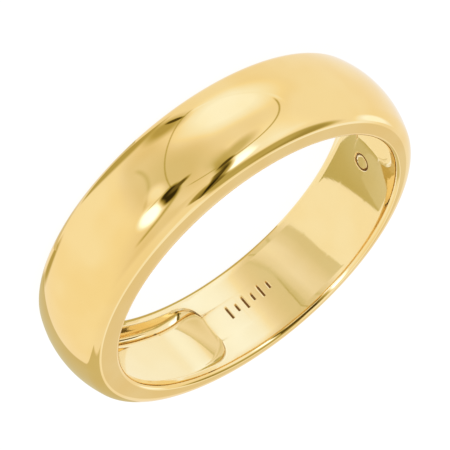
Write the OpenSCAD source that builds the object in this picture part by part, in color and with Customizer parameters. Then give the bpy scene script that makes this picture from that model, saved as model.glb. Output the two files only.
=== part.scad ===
// Dome wedding band, cast in one piece.
// The bore runs along Z and is centred on the origin. The head, which is the thickest stretch,
// faces -Y, and the back, which sits under the finger, faces +Y. Sizes are in millimetres.

/* [Finger bore] */
// Diameter of the finger bore
bore_d = 19; // [15:0.1:23]
// Rounding of both bore edges
lip_r = 0.25; // [0.1:0.05:0.4]

/* [Band] */
// Width of the band along the finger
band_w = 5.35; // [4:0.05:8]
// Thickness at the crown of the head
head_t = 2.55; // [2:0.05:3.5]
// Thickness at the crown of the back
back_t = 1.55; // [1.5:0.05:2]
// Radius of the dome across the band
dome_r = 5.7; // [5:0.1:9]
// Rounding where the dome meets each side face
shoulder_r = 0.85; // [0.4:0.05:1]

/* [Recess] */
// Metal left at each side of the recess
rim_w = 0.57; // [0.5:0.01:1]
// Metal left between the recess and the crown
wall_t = 0.9; // [0.7:0.05:1]
// Reach of the recess to each side of the head, in degrees
recess_reach = 119; // [60:1:125]
// Rounding between the floor and the walls of the recess
floor_r = 0.6; // [0.2:0.05:0.65]
// Radius of the ramp at each end of the recess
ramp_r = 3.5; // [2:0.1:5]

/* [Engraved marks] */
// Depth of the engraving
mark_depth = 0.06; // [0.03:0.01:0.1]
// Width of an engraved line
mark_line = 0.13; // [0.1:0.01:0.2]
// Number of ticks in the row
tick_count = 6; // [2:1:8]
// Distance from one tick to the next
tick_pitch = 0.55; // [0.4:0.05:0.6]
// Height of a long tick
tick_long = 0.75; // [0.5:0.05:1]
// Height of a short tick
tick_short = 0.4; // [0.3:0.05:0.5]
// Place of the tick row, in degrees from the head
tick_angle = 149.5; // [146:0.5:160]
// Outer diameter of the ring mark
ring_mark_d = 1.1; // [0.8:0.05:1.3]
// Place of the ring mark, in degrees from the head
ring_mark_angle = -142; // [-160:1:-140]
// Offset of both marks from the middle of the band
mark_shift = -0.22; // [-0.5:0.01:0.5]

/* [Hidden] */
$fn = 180;

// How far a cutter runs past the surface that it opens
over = 1;
bore_r = bore_d / 2;
half_w = band_w / 2;

// The crown is a circle about an axis that is shifted towards the head
crown_r = bore_r + (head_t + back_t) / 2;
head_shift = (head_t - back_t) / 2;

// Dome and shoulder arcs of the outer profile, which touch where their centres line up
dome_x = crown_r - dome_r;
shoulder_y = half_w - shoulder_r;
shoulder_angle = asin(shoulder_y / (dome_r - shoulder_r));
shoulder_x = dome_x + (dome_r - shoulder_r) * cos(shoulder_angle);

// The rounding of the bore edges leaves this much flat side face where the band is thinnest
side_flat = 0.02;
lip = min(lip_r, shoulder_x - head_shift - bore_r - side_flat);

// Recess floor, on the same shifted axis as the crown
floor_x = crown_r - wall_t;
recess_w = band_w - 2 * rim_w;

// Each ramp is slimmer than the recess by this much all round, so that their surfaces cross
ramp_inset = 0.02;

// Turns a shape from the +X side to the place at an angle from the head
module at_angle(angle) {
    rotate([0, 0, angle - 90]) children();
}

// Moves a shape from the bore's axis to the crown's axis
module on_crown_axis() {
    translate([0, -head_shift, 0]) children();
}

// Half of the band's section, before the bore is cut: a dome, two round shoulders, flat sides.
// The dome is the part of its circle inside a wedge that ends where the shoulders touch it.
module outer_profile() {
    wedge_x = 2 * dome_r;
    wedge_y = wedge_x * tan(shoulder_angle);
    translate([0, -half_w]) square([shoulder_x, band_w]);
    for (side = [-1, 1]) {
        translate([shoulder_x, side * shoulder_y]) circle(r = shoulder_r);
    }
    intersection() {
        translate([dome_x, 0]) circle(r = dome_r);
        translate([dome_x, 0]) polygon([[0, 0], [wedge_x, -wedge_y], [wedge_x, wedge_y]]);
    }
}

// Solid disc with the outer shape of the band
module blank() {
    on_crown_axis() rotate_extrude() outer_profile();
}

// Finger hole, as a cutter
module bore_cut() {
    translate([0, 0, -half_w - over]) cylinder(h = band_w + 2 * over, r = bore_r);
}

// Rounds both edges of the bore, as a cutter
module lip_cut() {
    for (side = [0, 1]) {
        mirror([0, 0, side]) rotate_extrude() difference() {
            translate([bore_r - over, half_w - lip]) square([over + lip, lip + over]);
            translate([bore_r + lip, half_w - lip]) circle(r = lip);
        }
    }
}

// Section of the recess from an inner radius to an outer one, its outer corners rounded
module recess_profile(inner, outer, width) {
    corner_y = width / 2 - floor_r;
    translate([inner, -width / 2]) square([outer - floor_r - inner, width]);
    translate([inner, -corner_y]) square([outer - inner, 2 * corner_y]);
    for (side = [-1, 1]) {
        translate([outer - floor_r, side * corner_y]) circle(r = floor_r);
    }
}

// Hollow under the head, an arc of even depth
module recess_arc() {
    on_crown_axis() rotate([0, 0, -90 - recess_reach]) rotate_extrude(angle = 2 * recess_reach)
        recess_profile(bore_r - head_shift - over, floor_x, recess_w);
}

// Disc at one end of the recess, where the floor rises to the bore
module recess_ramp(end) {
    on_crown_axis() at_angle(end * recess_reach) translate([floor_x - ramp_inset - ramp_r, 0, 0])
        rotate_extrude() recess_profile(0, ramp_r, recess_w - 2 * ramp_inset);
}

// Row of engraved ticks, long and short by turns
module tick_row() {
    step = tick_pitch / bore_r * 180 / PI;
    for (i = [0 : tick_count - 1]) {
        height = i % 2 == 0 ? tick_long : tick_short;
        at_angle(tick_angle + (i - (tick_count - 1) / 2) * step)
            translate([bore_r - over, -mark_line / 2, mark_shift - height / 2])
                cube([over + mark_depth, mark_line, height]);
    }
}

// Engraved plain circle
module ring_mark() {
    at_angle(ring_mark_angle) translate([bore_r - over, 0, mark_shift]) rotate([0, 90, 0]) difference() {
        cylinder(h = over + mark_depth, d = ring_mark_d);
        translate([0, 0, -over]) cylinder(h = mark_depth + 3 * over, d = ring_mark_d - 2 * mark_line);
    }
}

module band() {
    color("goldenrod") difference() {
        blank();
        bore_cut();
        lip_cut();
        recess_arc();
        recess_ramp(-1);
        recess_ramp(1);
        tick_row();
        ring_mark();
    }
}

band();
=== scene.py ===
"""Looks for a plain domed wedding band in polished yellow gold, lying on a pale light table.

The band is one closed mesh. Its section is a loop of points that is worked out again at each angle
round the bore, so that the hollow under the head, its ramps and the engraved marks are all shape.
Angles are measured from the head (-Y), positive towards +X. Lengths are in millimetres until the
mesh is made.
"""

import math

import bpy
import numpy as np
from mathutils import Matrix, Vector


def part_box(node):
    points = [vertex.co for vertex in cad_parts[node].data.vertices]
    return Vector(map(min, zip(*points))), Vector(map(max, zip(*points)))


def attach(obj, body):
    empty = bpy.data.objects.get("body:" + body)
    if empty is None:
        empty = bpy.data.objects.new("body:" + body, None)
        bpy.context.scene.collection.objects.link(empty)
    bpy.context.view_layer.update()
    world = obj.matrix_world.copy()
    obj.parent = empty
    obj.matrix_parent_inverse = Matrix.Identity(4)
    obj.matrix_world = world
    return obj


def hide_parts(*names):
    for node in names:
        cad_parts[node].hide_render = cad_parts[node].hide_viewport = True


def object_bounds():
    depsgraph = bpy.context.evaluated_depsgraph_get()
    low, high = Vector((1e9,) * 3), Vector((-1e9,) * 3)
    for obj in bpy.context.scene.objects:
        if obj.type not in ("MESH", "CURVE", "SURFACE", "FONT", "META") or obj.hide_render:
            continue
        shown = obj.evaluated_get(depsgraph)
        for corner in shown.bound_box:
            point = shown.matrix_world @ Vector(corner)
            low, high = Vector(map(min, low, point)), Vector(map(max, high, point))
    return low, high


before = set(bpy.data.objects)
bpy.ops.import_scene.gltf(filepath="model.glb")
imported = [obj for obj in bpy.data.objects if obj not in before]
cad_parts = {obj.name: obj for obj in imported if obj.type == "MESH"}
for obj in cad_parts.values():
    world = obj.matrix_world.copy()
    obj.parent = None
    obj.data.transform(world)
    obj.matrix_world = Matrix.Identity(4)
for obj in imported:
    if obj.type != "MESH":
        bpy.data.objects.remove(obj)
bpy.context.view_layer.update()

MM = 0.001

# The band's sizes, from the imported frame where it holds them
band_low, band_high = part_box("band")
HALF_W = band_high.z / MM
CROWN_R = (band_high.x - band_low.x) / 2 / MM
HEAD_SHIFT = -(band_high.y + band_low.y) / 2 / MM
BORE_R = 9.5
DOME_R = 5.7
SHOULDER_R = 0.85
LIP_R = 0.25

# Hollow under the head. The blend softens the edge between a ramp and the bore.
WALL_T = 0.9
RIM_W = 0.57
REACH = math.radians(119)
RAMP_R = 3.5
RAMP_BLEND = 0.1
FLOOR_R = 0.6
CORNER_R = 1.1
EDGE_R = 0.05
DRAFT = 0.04

# Engraved marks at the back of the bore
MARK_DEPTH = 0.06
MARK_LINE = 0.13
MARK_BLUR = 0.035
MARK_SHIFT = -0.22
TICK_COUNT = 6
TICK_PITCH = 0.55
TICK_LONG = 0.75
TICK_SHORT = 0.4
TICK_ANGLE = math.radians(149.5)
RING_MARK_D = 1.1
RING_MARK_ANGLE = math.radians(-142)

# Fineness of the mesh: steps round the bore, and points along each part of the section
PLAIN_STEP = math.radians(0.75)
END_STEP = math.radians(0.35)
MARK_STEP = math.radians(0.2)
SHOULDER_POINTS = 15
DOME_POINTS = 18
LIP_POINTS = 6
RIM_POINTS = 5
EDGE_POINTS = 5
FILLET_POINTS = 9
FLOOR_STEPS = 46

# Which material a stretch of the section has
POLISHED = 0
SATIN = 1

# The outer section: where the dome's and the shoulders' arcs are centred, and where they touch
DOME_X = CROWN_R - DOME_R
SHOULDER_Y = HALF_W - SHOULDER_R
SHOULDER_ANGLE = math.asin(SHOULDER_Y / (DOME_R - SHOULDER_R))
SHOULDER_X = DOME_X + (DOME_R - SHOULDER_R) * math.cos(SHOULDER_ANGLE)
FLOOR_X = CROWN_R - WALL_T
RECESS_HALF_W = HALF_W - RIM_W


# --- Shape ---

def reach_of_circle(angle, along, round_r, at_angle):
    """How far a ray from the bore's axis goes before it leaves a circle centred off that axis."""
    off = along * np.cos(angle - at_angle)
    side = along * np.sin(angle - at_angle)
    inside = round_r**2 - side**2
    return np.where(inside > 0, off + np.sqrt(np.maximum(inside, 0)), 0)


def ramp_centre():
    """Distance and angle of a ramp's axis from the bore's axis."""
    spoke = FLOOR_X - RAMP_R
    x = spoke * math.sin(REACH)
    y = -HEAD_SHIFT - spoke * math.cos(REACH)
    return math.hypot(x, y), math.atan2(x, -y)


def recess_depth(angle):
    """Depth of the hollow below the bore: an even floor under the head, and a ramp at each end."""
    away = np.abs(angle)
    floor = reach_of_circle(away, HEAD_SHIFT, FLOOR_X, 0)
    spoke, at_angle = ramp_centre()
    ramp = reach_of_circle(away, spoke, RAMP_R, at_angle)
    sharp = np.where(away <= at_angle, floor, np.minimum(ramp, floor)) - BORE_R
    return (sharp + np.sqrt(sharp**2 + 4 * RAMP_BLEND**2)) / 2


def recess_end():
    """Angle at which the ramp comes up to the bore."""
    angles = np.linspace(REACH, math.pi, 4000)
    return float(angles[recess_depth(angles) <= RAMP_BLEND][0])


RECESS_END = recess_end()


def recess_half_width(angle):
    """Half width of the hollow, which narrows in a round corner at each end."""
    past = np.clip((np.abs(angle) - RECESS_END) * BORE_R + CORNER_R, 0, CORNER_R)
    return RECESS_HALF_W - CORNER_R + np.sqrt(CORNER_R**2 - past**2)


def smooth_mask(distance):
    """1 inside a shape, 0 outside, from the signed distance to its edge."""
    t = np.clip(0.5 - distance / MARK_BLUR, 0, 1)
    return t * t * (3 - 2 * t)


def box_distance(x, y, half_x, half_y):
    """Signed distance to a rectangle."""
    dx = np.abs(x) - half_x
    dy = np.abs(y) - half_y
    outside = np.hypot(np.maximum(dx, 0), np.maximum(dy, 0))
    return outside + np.minimum(np.maximum(dx, dy), 0)


def engraving(angle, z):
    """How engraved the bore is at a place, from 0 to 1: a row of ticks and a plain circle."""
    mask = np.zeros_like(z)
    for i in range(TICK_COUNT):
        height = TICK_SHORT if i % 2 else TICK_LONG
        along = (angle - TICK_ANGLE) * BORE_R - (i - (TICK_COUNT - 1) / 2) * TICK_PITCH
        edge = box_distance(along, z - MARK_SHIFT, MARK_LINE / 2, height / 2)
        mask = np.maximum(mask, smooth_mask(edge))
    along = (angle - RING_MARK_ANGLE) * BORE_R
    from_centre = np.hypot(along, z - MARK_SHIFT)
    edge = np.abs(from_centre - (RING_MARK_D - MARK_LINE) / 2) - MARK_LINE / 2
    return np.maximum(mask, smooth_mask(edge))


def outer_loop():
    """Radius from the crown's axis and height of the outside, from the lower lip round to the upper one."""
    turn = np.linspace(-math.pi / 2, -SHOULDER_ANGLE, SHOULDER_POINTS)
    shoulder = [(SHOULDER_X + SHOULDER_R * math.cos(t), -SHOULDER_Y + SHOULDER_R * math.sin(t)) for t in turn]
    sweep = np.linspace(-SHOULDER_ANGLE, 0, DOME_POINTS)[1:]
    dome = [(DOME_X + DOME_R * math.cos(t), DOME_R * math.sin(t)) for t in sweep]
    half = shoulder + dome
    return half + [(x, -y) for x, y in reversed(half[:-1])]


def wanted_step(angle):
    """Step to the next column: finer at the marks and at the ends of the hollow."""
    ticks = abs(angle - TICK_ANGLE) * BORE_R < TICK_PITCH * TICK_COUNT / 2
    ring = abs(angle - RING_MARK_ANGLE) * BORE_R < RING_MARK_D * 0.6
    if ticks or ring:
        return MARK_STEP
    before, past = 0.02, 0.03
    ends = REACH - before < abs(angle) < RECESS_END + past
    return END_STEP if ends else PLAIN_STEP


def angle_grid():
    """Angles of the mesh's columns, stretched a little so that the last step closes the circle."""
    angles = [-math.pi]
    while angles[-1] < math.pi:
        angles.append(angles[-1] + wanted_step(angles[-1]))
    grid = np.array(angles)
    grid = -math.pi + (grid + math.pi) * 2 * math.pi / (grid[-1] + math.pi)
    return grid[:-1]


def inner_loop(depth, half_w):
    """(distance into the metal, height) from the upper lip to the lower one, at one depth of the hollow.

    Where there is no hollow the same points lie flat on the bore, so that every column matches.
    """
    edge = min(EDGE_R, depth / 3)
    fillet = min(FLOOR_R, depth - edge)
    side = []
    for height in np.linspace(HALF_W - LIP_R, half_w + EDGE_R, RIM_POINTS)[1:-1]:
        side.append((0.0, height))
    for t in np.linspace(0, math.pi / 2, EDGE_POINTS):
        side.append((edge * (1 - math.cos(t)), half_w + EDGE_R * (1 - math.sin(t))))
    side.append(((edge + depth - fillet) / 2, half_w - DRAFT / 2))
    for t in np.linspace(0, math.pi / 2, FILLET_POINTS):
        side.append((depth - fillet + fillet * math.sin(t), half_w - DRAFT - FLOOR_R * (1 - math.cos(t))))
    start = half_w - DRAFT - FLOOR_R
    middle = start * np.linspace(1, -1, FLOOR_STEPS + 1)[1:-1]
    return side + [(depth, z) for z in middle] + [(d, -z) for d, z in reversed(side)]


def lip_loop():
    """(distance into the metal, height) round one lip, from the side face to the bore."""
    turn = np.linspace(0, math.pi / 2, LIP_POINTS)
    return [(LIP_R * (1 - math.sin(t)), HALF_W - LIP_R * (1 - math.cos(t))) for t in turn]


def section(angle, outer, lip):
    """Points of the closed section at one angle, and how engraved each one is."""
    spoke = np.array([math.sin(angle), -math.cos(angle), 0.0])
    points = [spoke * radius + np.array([0, -HEAD_SHIFT, height]) for radius, height in outer]
    depth = float(recess_depth(np.array(angle)))
    half_w = float(recess_half_width(np.array(angle)))
    inner = lip + inner_loop(depth, half_w) + [(into, -z) for into, z in reversed(lip)]
    heights = np.array([z for into, z in inner])
    marks = engraving(np.full(len(inner), angle), heights)
    for (into, height), mark in zip(inner, marks):
        points.append(spoke * (BORE_R + into + mark * MARK_DEPTH) + np.array([0, 0, height]))
    return points, [0.0] * len(outer) + list(marks)


def grid_faces(n_columns, n_rows):
    """Quads of a grid that closes on itself both ways."""
    rows = np.arange(n_rows)[None]
    first = np.arange(n_columns)[:, None] * n_rows
    after = np.roll(first, -1, 0)
    above = (rows + 1) % n_rows
    return np.stack([first + rows, after + rows, after + above, first + above], -1).reshape(-1, 4)


def row_materials(n_rows, n_outer, n_lip):
    """Material of each row of faces: satin between the two lips, polished everywhere else."""
    materials = np.full(n_rows, POLISHED, np.int32)
    materials[n_outer + n_lip - 1:n_rows - n_lip] = SATIN
    return materials


def band_mesh():
    """The whole band as a grid: columns round the bore, rows round the section."""
    outer = outer_loop()
    lip = lip_loop()
    columns, marks = zip(*(section(angle, outer, lip) for angle in angle_grid()))
    points = np.array(columns)
    n_columns, n_rows = points.shape[:2]
    faces = grid_faces(n_columns, n_rows)
    mesh = bpy.data.meshes.new("polished_band")
    mesh.from_pydata((points.reshape(-1, 3) * MM).tolist(), [], faces.tolist())
    mesh.update()
    # How engraved each point is; the material uses it to paint shade into the marks
    engraved = mesh.attributes.new("engraved", "FLOAT", "POINT")
    engraved.data.foreach_set("value", np.array(marks, np.float32).ravel())
    materials = row_materials(n_rows, len(outer), len(lip))
    mesh.polygons.foreach_set("material_index", np.tile(materials, n_columns))
    mesh.polygons.foreach_set("use_smooth", np.ones(len(faces), bool))
    mesh.update()
    return mesh


# --- Materials ---

class Nodes:
    """Short calls for building a material or world out of nodes."""

    def __init__(self, tree):
        self.tree = tree
        tree.nodes.clear()

    def add(self, kind, inputs=None, **settings):
        """Adds a node. An input is a value for its socket, or the socket of another node to link to it."""
        node = self.tree.nodes.new(kind)
        for key, value in settings.items():
            setattr(node, key, value)
        for key, value in (inputs or {}).items():
            if isinstance(value, bpy.types.NodeSocket):
                self.tree.links.new(value, node.inputs[key])
            else:
                node.inputs[key].default_value = value
        return node

    def math(self, operation, first, second=0.0, clamp=False):
        node = self.add("ShaderNodeMath", {0: first, 1: second}, operation=operation, use_clamp=clamp)
        return node.outputs[0]

    def remap(self, value, low, high, to_low, to_high, smooth=True):
        kind = "SMOOTHSTEP" if smooth else "LINEAR"
        names = {"Value": value, "From Min": low, "From Max": high, "To Min": to_low, "To Max": to_high}
        return self.add("ShaderNodeMapRange", names, interpolation_type=kind).outputs["Result"]

    def mix_colour(self, factor, first, second):
        """Mixes two colours, whose sockets on this node are numbers 6 and 7."""
        return self.add("ShaderNodeMix", {0: factor, 6: first, 7: second}, data_type="RGBA").outputs[2]


GOLD = (0.94, 0.71, 0.31, 1)
GOLD_DEEP = (0.92, 0.66, 0.25, 1)
PALE_GOLD = (0.95, 0.75, 0.37, 1)
PALE_GOLD_DEEP = (0.94, 0.72, 0.33, 1)
# Dark brown painted into the engraved marks as the shade in their grooves
GROOVE_SHADE = (0.26, 0.12, 0.03, 1)


def gold(name, tones, metallic, roughness, streak, bump):
    """Yellow gold with fine polishing lines along the bore's axis, slow changes of tone, and painted shade in
    the engraved marks.
    """
    material = bpy.data.materials.new(name)
    material.use_nodes = True
    n = Nodes(material.node_tree)
    place = n.add("ShaderNodeTexCoord").outputs["Object"]
    slow = n.add("ShaderNodeTexNoise", {"Vector": place, "Scale": 260.0, "Detail": 2.0}).outputs["Fac"]
    stretched = n.add("ShaderNodeMapping", {"Vector": place, "Scale": (1.0, 1.0, streak)}).outputs["Vector"]
    lines = n.add("ShaderNodeTexNoise", {"Vector": stretched, "Scale": 9000.0, "Detail": 3.0}).outputs["Fac"]
    fine = n.add("ShaderNodeTexNoise", {"Vector": place, "Scale": 22000.0, "Detail": 1.0}).outputs["Fac"]
    tone = n.remap(slow, 0.35, 0.65, 0.0, 1.0)
    metal = n.mix_colour(tone, tones[0], tones[1])
    engraved = n.add("ShaderNodeAttribute", attribute_name="engraved").outputs["Fac"]
    # Painted shade: the engraved marks are mixed towards dark brown, and made rougher
    cut = n.remap(engraved, 0.25, 0.75, 0.0, 1.0)
    colour = n.mix_colour(cut, metal, GROOVE_SHADE)
    shine = n.remap(lines, 0.3, 0.7, roughness * 0.75, roughness * 1.3, smooth=False)
    dull = n.math("MULTIPLY", cut, 0.45)
    rough = n.math("ADD", shine, dull, clamp=True)
    height = n.math("ADD", lines, n.math("MULTIPLY", fine, 0.3))
    relief = n.add("ShaderNodeBump", {"Strength": bump, "Distance": 0.000004, "Height": height})
    shader = n.add(
        "ShaderNodeBsdfPrincipled",
        {"Base Color": colour, "Metallic": metallic, "Roughness": rough, "Normal": relief.outputs["Normal"]},
    )
    n.add("ShaderNodeOutputMaterial", {"Surface": shader.outputs[0]})
    return material


def build_band():
    """The band, polished outside and on its lips, satin inside. The order of materials is POLISHED, SATIN."""
    mesh = band_mesh()
    band = bpy.data.objects.new("polished_band", mesh)
    bpy.context.scene.collection.objects.link(band)
    mesh.materials.append(gold("polished_gold", (GOLD, GOLD_DEEP), 1.0, 0.02, 0.15, 0.02))
    mesh.materials.append(gold("satin_gold", (PALE_GOLD, PALE_GOLD_DEEP), 0.96, 0.05, 0.03, 0.15))
    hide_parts("band")
    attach(band, "root")
    return band


# --- Studio ---

CAMERA_AZIMUTH = -19.52
CAMERA_ELEVATION = 24.57
CAMERA_ROLL = 139.0
CAMERA_DISTANCE = 288.2
CAMERA_LENS = 418.3
CAMERA_AIM = (0.0, -0.19, -0.40)
SENSOR_W = 36

TABLE_HALF = 3.0
TABLE_COLOUR = (0.2, 0.2, 0.2, 1)
WHITE = (1, 1, 1, 1)


def direction(azimuth, elevation):
    """Unit vector; azimuth 0 is the head's side (-Y) and grows towards +X."""
    a, e = math.radians(azimuth), math.radians(elevation)
    return Vector((math.sin(a) * math.cos(e), -math.cos(a) * math.cos(e), math.sin(e)))


def build_camera():
    """A long lens far away, as in a product picture. The roll turns the band's axis across the picture."""
    data = bpy.data.cameras.new("camera")
    data.lens = CAMERA_LENS
    data.sensor_width = SENSOR_W
    data.clip_start = 0.01
    data.clip_end = 10
    camera = bpy.data.objects.new("camera", data)
    bpy.context.scene.collection.objects.link(camera)
    back = direction(CAMERA_AZIMUTH, CAMERA_ELEVATION)
    a = math.radians(CAMERA_AZIMUTH)
    level = Vector((math.cos(a), math.sin(a), 0))
    upright = back.cross(level)
    roll = math.radians(CAMERA_ROLL)
    right = level * math.cos(roll) + upright * math.sin(roll)
    up = back.cross(right)
    place = (Vector(CAMERA_AIM) + back * CAMERA_DISTANCE) * MM
    turn = Matrix((right, up, back)).transposed().to_4x4()
    camera.matrix_world = Matrix.Translation(place) @ turn
    bpy.context.scene.camera = camera


def build_floor():
    """A pale light table under the band, which mirrors don't see: below it the studio goes on all round."""
    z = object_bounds()[0][2]
    corners = [(x * TABLE_HALF, y * TABLE_HALF, z) for x, y in ((-1, -1), (1, -1), (1, 1), (-1, 1))]
    mesh = bpy.data.meshes.new("light_table")
    mesh.from_pydata(corners, [], [(0, 1, 2, 3)])
    floor = bpy.data.objects.new("light_table", mesh)
    bpy.context.scene.collection.objects.link(floor)
    material = bpy.data.materials.new("light_table")
    material.use_nodes = True
    n = Nodes(material.node_tree)
    grain = n.add("ShaderNodeTexNoise", {"Scale": 40.0}).outputs["Fac"]
    bright = n.remap(grain, 0.3, 0.7, 0.89, 0.91)
    glow = n.add("ShaderNodeEmission", {"Color": WHITE, "Strength": bright})
    matt = n.add("ShaderNodeBsdfDiffuse", {"Color": TABLE_COLOUR})
    both = n.add("ShaderNodeAddShader", {0: glow.outputs[0], 1: matt.outputs[0]})
    n.add("ShaderNodeOutputMaterial", {"Surface": both.outputs[0]})
    mesh.materials.append(material)
    floor.visible_glossy = False


class Sky(Nodes):
    """Builds the studio's brightness by azimuth and elevation, in degrees, one soft shape over another."""

    def __init__(self, tree, start):
        super().__init__(tree)
        look = self.add("ShaderNodeTexCoord").outputs["Generated"]
        axes = self.add("ShaderNodeSeparateXYZ", {"Vector": look}).outputs
        azimuth = self.math("ARCTAN2", axes["X"], self.math("MULTIPLY", axes["Y"], -1.0))
        elevation = self.math("ARCSINE", axes["Z"])
        parts = {"X": self.math("DEGREES", azimuth), "Y": self.math("DEGREES", elevation)}
        self.place = self.add("ShaderNodeCombineXYZ", parts).outputs[0]
        self.light = start

    def local(self, place, size, turn=0):
        """Coordinates in which a shape of that size, at that place, has radius 1."""
        settings = {
            "Vector": self.place,
            "Location": (place[0], place[1], 0),
            "Rotation": (0, 0, math.radians(turn)),
            "Scale": (size[0], size[1], 1),
        }
        return self.add("ShaderNodeMapping", settings, vector_type="TEXTURE").outputs[0]

    def lay(self, mask, light, cover):
        """Puts a brightness over what is there, where the mask is 1."""
        share = self.math("MULTIPLY", mask, cover)
        names = {0: share, 2: self.light, 3: light}
        self.light = self.add("ShaderNodeMix", names, data_type="FLOAT").outputs[0]

    def blob(self, place, size, light, turn=0, soft=1.0, cover=1.0):
        """A soft ellipse."""
        reach = self.add("ShaderNodeVectorMath", {0: self.local(place, size, turn)}, operation="LENGTH")
        self.lay(self.remap(reach.outputs["Value"], 1 - soft / 2, 1 + soft / 2, 1.0, 0.0), light, cover)

    def card(self, place, size, light, turn=0, soft=1.0, cover=1.0):
        """A soft rectangle."""
        axes = self.add("ShaderNodeSeparateXYZ", {"Vector": self.local(place, size, turn)}).outputs
        sides = []
        for axis in ("X", "Y"):
            reach = self.math("ABSOLUTE", axes[axis])
            sides.append(self.remap(reach, 1 - soft / 2, 1 + soft / 2, 1.0, 0.0))
        self.lay(self.math("MULTIPLY", *sides), light, cover)

    def arc(self, place, size, light, middle, sweep, width, soft, fade, cover=1.0):
        """A soft line along part of an ellipse: the sweep each way from its middle, in degrees."""
        spot = self.local(place, size)
        reach = self.add("ShaderNodeVectorMath", {0: spot}, operation="LENGTH").outputs["Value"]
        off = self.math("ABSOLUTE", self.math("SUBTRACT", reach, 1.0))
        away = self.math("MULTIPLY", off, (size[0] + size[1]) / 2)
        line = self.remap(away, (width - soft) / 2, (width + soft) / 2, 1.0, 0.0)
        heading = self.add("ShaderNodeVectorMath", {0: spot}, operation="NORMALIZE").outputs[0]
        towards = (math.cos(math.radians(middle)), math.sin(math.radians(middle)), 0)
        names = {0: heading, 1: towards}
        turn = self.add("ShaderNodeVectorMath", names, operation="DOT_PRODUCT").outputs["Value"]
        low, high = (math.cos(math.radians(sweep + side * fade / 2)) for side in (1, -1))
        self.lay(self.math("MULTIPLY", line, self.remap(turn, low, high, 0.0, 1.0)), light, cover)


# Colour of the studio by brightness, where 1 is white. A colour ramp holds 0 to 1 only, so brightness
# is divided by LIGHT_SPAN on the way in, and colour by BRIGHTEST, which the glow then multiplies back.
BRIGHTEST = 4.0
LIGHT_SPAN = 1.6
LIGHT_COLOURS = (
    (0.0, (0, 0, 0)),
    (0.1, (0.09, 0.07, 0.02)),
    (0.3, (0.30, 0.25, 0.07)),
    (0.55, (0.56, 0.51, 0.25)),
    (0.7, (0.70, 0.67, 0.50)),
    (0.83, (0.83, 0.79, 0.71)),
    (0.92, (0.92, 0.90, 0.92)),
    (1.0, (1.0, 1.0, 1.02)),
    (1.06, (1.01, 1.08, 1.30)),
    (1.14, (1.03, 1.17, 1.60)),
    (1.5, (1.6, 2.1, 3.6)),
)
TENT_LIGHT = 0.96


def light_colour(n, light):
    """Colour of the studio for a brightness: warm where it is dim, cool where it is bright."""
    share = n.math("DIVIDE", light, LIGHT_SPAN)
    ramp = n.add("ShaderNodeValToRGB", {"Fac": share})
    stops = ramp.color_ramp.elements
    while len(stops) < len(LIGHT_COLOURS):
        stops.new(0.5)
    for stop, (at, colour) in zip(stops, LIGHT_COLOURS):
        stop.position = at / LIGHT_SPAN
        stop.color = [c / BRIGHTEST for c in colour] + [1]
    return ramp.outputs["Color"]


def hang_rear(n):
    """Cards behind and above the band, seen in the back of the dome."""
    # An even side wall, to the right of the head
    n.blob((60, -18), (70, 60), 1)
    # A slightly dimmer wall behind
    n.blob((-140, 5), (45, 45), 0.98, soft=0.8, cover=0.6)
    # Dim roof at the back
    n.blob((-170, 68), (80, 22), 0.52, turn=-3, soft=0.35)
    # Its other end, past the seam of the azimuths at 180 degrees
    n.blob((190, 66), (24, 20), 0.5, turn=-3, soft=0.5)
    # Dim roof at the left
    n.blob((-95, 84), (70, 22), 0.5, turn=-6, soft=0.5)
    # The darkest part of the roof, low at the back
    n.blob((-180, 54), (50, 8), 0.36, turn=-4, soft=1.4, cover=0.9)


def hang_key(n):
    """The main lamp at the left front, and the dark flag beside it."""
    # Broad soft lamp
    n.blob((-70, 34), (27, 28), 1.1, soft=1.2)
    # Narrow main lamp
    n.blob((-55, 36), (9, 24), 1.4, turn=4, soft=1.2)
    # Soft edge of the dark flag beside the main lamp
    n.card((-41, 52), (7.5, 42), 0.45, turn=2, soft=0.8)
    # Top of the flag, which widens
    n.blob((-34, 76), (26, 20), 0.2, turn=-10, soft=0.6)
    # The flag itself
    n.card((-36.5, 50), (5.5, 36), 0.03, turn=-7, soft=0.8)
    # Grey gauze in front
    n.blob((8, 34), (36, 26), 0.84, soft=1.2, cover=0.9)
    # Amber end of the flag
    n.blob((-20, 63), (8, 18), 0.38, turn=-30, soft=0.9, cover=0.9)
    # Pale gap under the flag
    n.card((-22, 20), (14, 8), 0.92, turn=10, soft=0.8)


def hang_arch(n):
    """The arched panel at the left front, with the floor under it."""
    # Veil over the middle of the left side
    n.blob((-60, -8), (18, 9), 0.92, cover=0.8)
    # Bright card on the floor at the left
    n.blob((-66, -35), (30, 18), 1.16, soft=0.9)
    # Tan panel below the front
    n.card((-7, -32), (17, 30), 0.84)
    # Soft shade inside the arch
    n.blob((-22, -10), (18, 22), 0.74, turn=20, soft=1.4, cover=0.9)
    # Shade over the top of the arch
    n.blob((-52, 9), (13, 5), 0.58, turn=20, soft=1.2, cover=0.9)
    # Thin dark edge of the arch
    n.arc((-42, -20), (46, 35), 0.5, middle=120, sweep=58, width=0.9, soft=1, fade=10)
    # Dark corner of the arch
    n.blob((-43, 15.5), (6, 1.5), 0.1, turn=15, soft=0.8)
    # Thin bright edge at the arch's lower left
    n.arc((-50, -14), (40.5, 42.5), 1.12, middle=222, sweep=38, width=1.6, soft=2.5, fade=20)
    # Dark ground underneath
    n.blob((40, -77), (95, 13), 0.5, soft=0.35)
    # Its soft front edge
    n.blob((-34, -61), (17, 8), 0.5, turn=-8, soft=1.2)
    # Thin edge of the arch at the right
    n.arc((-58, 4), (46, 61), 0.45, middle=314, sweep=44, width=0.8, soft=1.6, fade=10)
    # Dark corner at the foot of the arch
    n.blob((-45, -60.5), (6.5, 2.2), 0.1, turn=-35, soft=0.7)
    # Edge of a second, fainter arch
    n.arc((40, -28), (45, 36), 0.66, middle=172, sweep=30, width=2, soft=3, fade=14)


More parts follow.
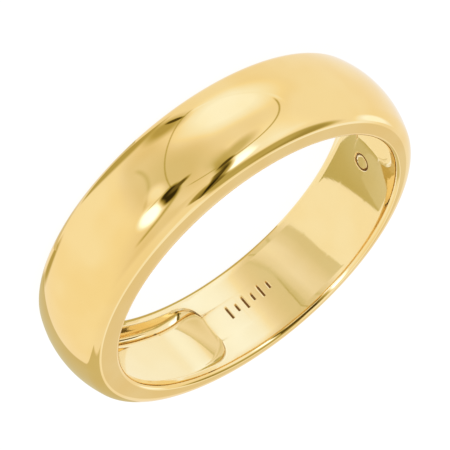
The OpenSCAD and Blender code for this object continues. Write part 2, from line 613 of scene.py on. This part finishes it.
def hang_spot(n):
    """The small lamp straight in front, in its dark housing."""
    # Glow below the lamp in front
    n.blob((-4, -7), (6, 7), 1.03, soft=1.2)
    # Thin bar above it
    n.arc((14, -38), (60, 52.5), 0.5, middle=100, sweep=17, width=2.2, soft=3, fade=10)
    # Dark housing beside the lamp in front
    n.blob((-9, 4.2), (8, 5.2), 0.04, turn=14, soft=0.6)
    # Tail of the housing
    n.blob((-16, 3.2), (7, 1.8), 0.15, turn=2, soft=0.9)
    # The lamp in front
    n.blob((6, 5), (8.5, 6.5), 1.45, soft=0.9)
    # Thin sill below both
    n.blob((-3, -0.8), (8, 0.7), 0.7, cover=0.8)


def hang_rim(n):
    """Panels that the shoulder and the side face mirror."""
    # Crisp olive panel at the right rear
    n.card((131, -4), (18, 36), 0.67, turn=10, soft=0.08)
    # Bright strip that lights the shoulder at the near rim
    n.blob((154, 46), (8, 24), 1.1, soft=0.9)
    # The same for the far shoulder
    n.blob((-168, 29), (16, 7), 1.2, soft=0.9)
    # Link between the two strips
    n.blob((173, 35), (10, 6), 1.1, soft=0.8)
    # Even card that the flat side face mirrors
    n.blob((160.5, 24.5), (9, 7), 0.83, soft=0.5)
    # Dark foot of the olive panel
    n.blob((104, -45), (16, 2.5), 0.5, turn=20)


def build_world():
    """A white tent with soft cards, flags and lamps round the band, which only mirrors and shading see.

    Each call lays one soft shape over those before it. It gives the shape's place and its size, both as
    azimuth and elevation in degrees, and then its brightness, where 1 is white.
    """
    world = bpy.data.worlds.new("studio")
    bpy.context.scene.world = world
    world.use_nodes = True
    n = Sky(world.node_tree, TENT_LIGHT)
    hang_rear(n)
    hang_key(n)
    hang_arch(n)
    hang_spot(n)
    hang_rim(n)
    glow = n.add("ShaderNodeBackground", {"Color": light_colour(n, n.light), "Strength": BRIGHTEST})
    plain = n.add("ShaderNodeBackground", {"Color": WHITE, "Strength": 1.0})
    seen = n.add("ShaderNodeLightPath").outputs["Is Camera Ray"]
    both = n.add("ShaderNodeMixShader", {0: seen, 1: glow.outputs[0], 2: plain.outputs[0]})
    n.add("ShaderNodeOutputWorld", {"Surface": both.outputs[0]})


# Small cards near the band: the height of each, and rows of corners as x, y and brightness
UNDER_Z = -6.0
OVER_Z = 3.4
CARDS = {
    # Dim card under the back, whose near edge shows across the bore
    "dim_card": (UNDER_Z, [
        [(3.3, 4.3, 0.52), (8.5, 3.3, 0.55), (14.5, 2.6, 0.58)],
        [(3.0, 8.0, 0.58), (6.2, 7.0, 0.60), (8.8, 6.0, 0.60)],
        [(2.5, 12.0, 0.66), (3.6, 12.2, 0.66), (4.6, 12.5, 0.66)],
    ]),
    # Greyer card beyond it
    "grey_card": (UNDER_Z, [
        [(14.5, 2.6, 0.70), (15.0, 12.0, 0.72)],
        [(8.8, 6.0, 0.66), (11.0, 13.0, 0.74)],
        [(4.6, 12.5, 0.70), (8.0, 15.0, 0.74)],
    ]),
    # Striped card under the middle: a thin dark edge, pale, then olive up to a crisp edge
    "stripe_card": (UNDER_Z, [
        [
            (0.0, 1.6, 0.70), (0.35, 1.6, 0.88), (0.9, 1.6, 0.97),
            (1.5, 1.6, 0.84), (1.9, 1.4, 0.76), (2.3, 1.2, 0.74),
        ],
        [
            (-1.0, -4.0, 0.68), (-0.5, -4.0, 0.84), (0.5, -4.1, 0.93),
            (2.0, -4.2, 0.86), (3.2, -4.3, 0.76), (4.6, -4.4, 0.74),
        ],
        [
            (-2.7, -10.5, 0.66), (-1.6, -10.5, 0.78), (0.3, -10.5, 0.90),
            (3.0, -10.5, 0.86), (5.0, -10.5, 0.76), (8.2, -10.5, 0.74),
        ],
    ]),
    # Pale card at the left
    "pale_card": (UNDER_Z, [
        [(-9.0, 5.5, 1.08), (1.5, 4.5, 1.08)],
        [(-7.0, 14.0, 1.1), (2.0, 14.0, 1.1)],
    ]),
    # Card over the back lip: dark, then a bright glint, then pale
    "lip_card": (OVER_Z, [
        [(3.6, 7.0, 0.15), (4.7, 8.35, 0.15)],
        [(2.15, 7.6, 0.10), (2.4, 9.25, 0.08)],
        [(1.5, 7.6, 0.75), (1.5, 9.45, 0.60)],
        [(1.2, 7.4, 1.50), (1.1, 9.50, 1.50)],
        [(0.8, 7.2, 1.50), (0.45, 9.55, 1.40)],
        [(0.4, 7.2, 1.12), (-0.2, 9.50, 1.00)],
        [(-0.8, 7.5, 1.15), (-2.7, 9.10, 1.02)],
        [(-1.8, 7.4, 1.12), (-5.2, 7.75, 1.02)],
    ]),
}


def card_mesh(name, z, rows):
    """A card at one height, with its brightness written at each corner."""
    mesh = bpy.data.meshes.new(name)
    across = len(rows[0])
    corners = [corner for row in rows for corner in row]
    faces = []
    for row in range(len(rows) - 1):
        for i in range(across - 1):
            start = row * across + i
            faces.append((start, start + 1, start + across + 1, start + across))
    mesh.from_pydata([(x * MM, y * MM, z * MM) for x, y, light in corners], [], faces)
    lights = mesh.attributes.new("light", "FLOAT", "POINT")
    lights.data.foreach_set("value", [light for x, y, light in corners])
    return mesh


def card_material():
    """Glow whose brightness is the one written on the card."""
    material = bpy.data.materials.new("card_glow")
    material.use_nodes = True
    n = Nodes(material.node_tree)
    light = n.add("ShaderNodeAttribute", attribute_name="light").outputs["Fac"]
    glow = n.add("ShaderNodeEmission", {"Color": light_colour(n, light), "Strength": BRIGHTEST})
    n.add("ShaderNodeOutputMaterial", {"Surface": glow.outputs[0]})
    return material


def build_cards():
    """Small cards close to the band, which only its mirror surfaces see."""
    material = card_material()
    for name, (z, rows) in CARDS.items():
        mesh = card_mesh(name, z, rows)
        mesh.materials.append(material)
        card = bpy.data.objects.new(name, mesh)
        bpy.context.scene.collection.objects.link(card)
        card.visible_camera = False
        card.visible_diffuse = False
        card.visible_shadow = False


build_band()
build_camera()
build_floor()
build_cards()
build_world()
bpy.context.scene.view_settings.view_transform = "Standard"
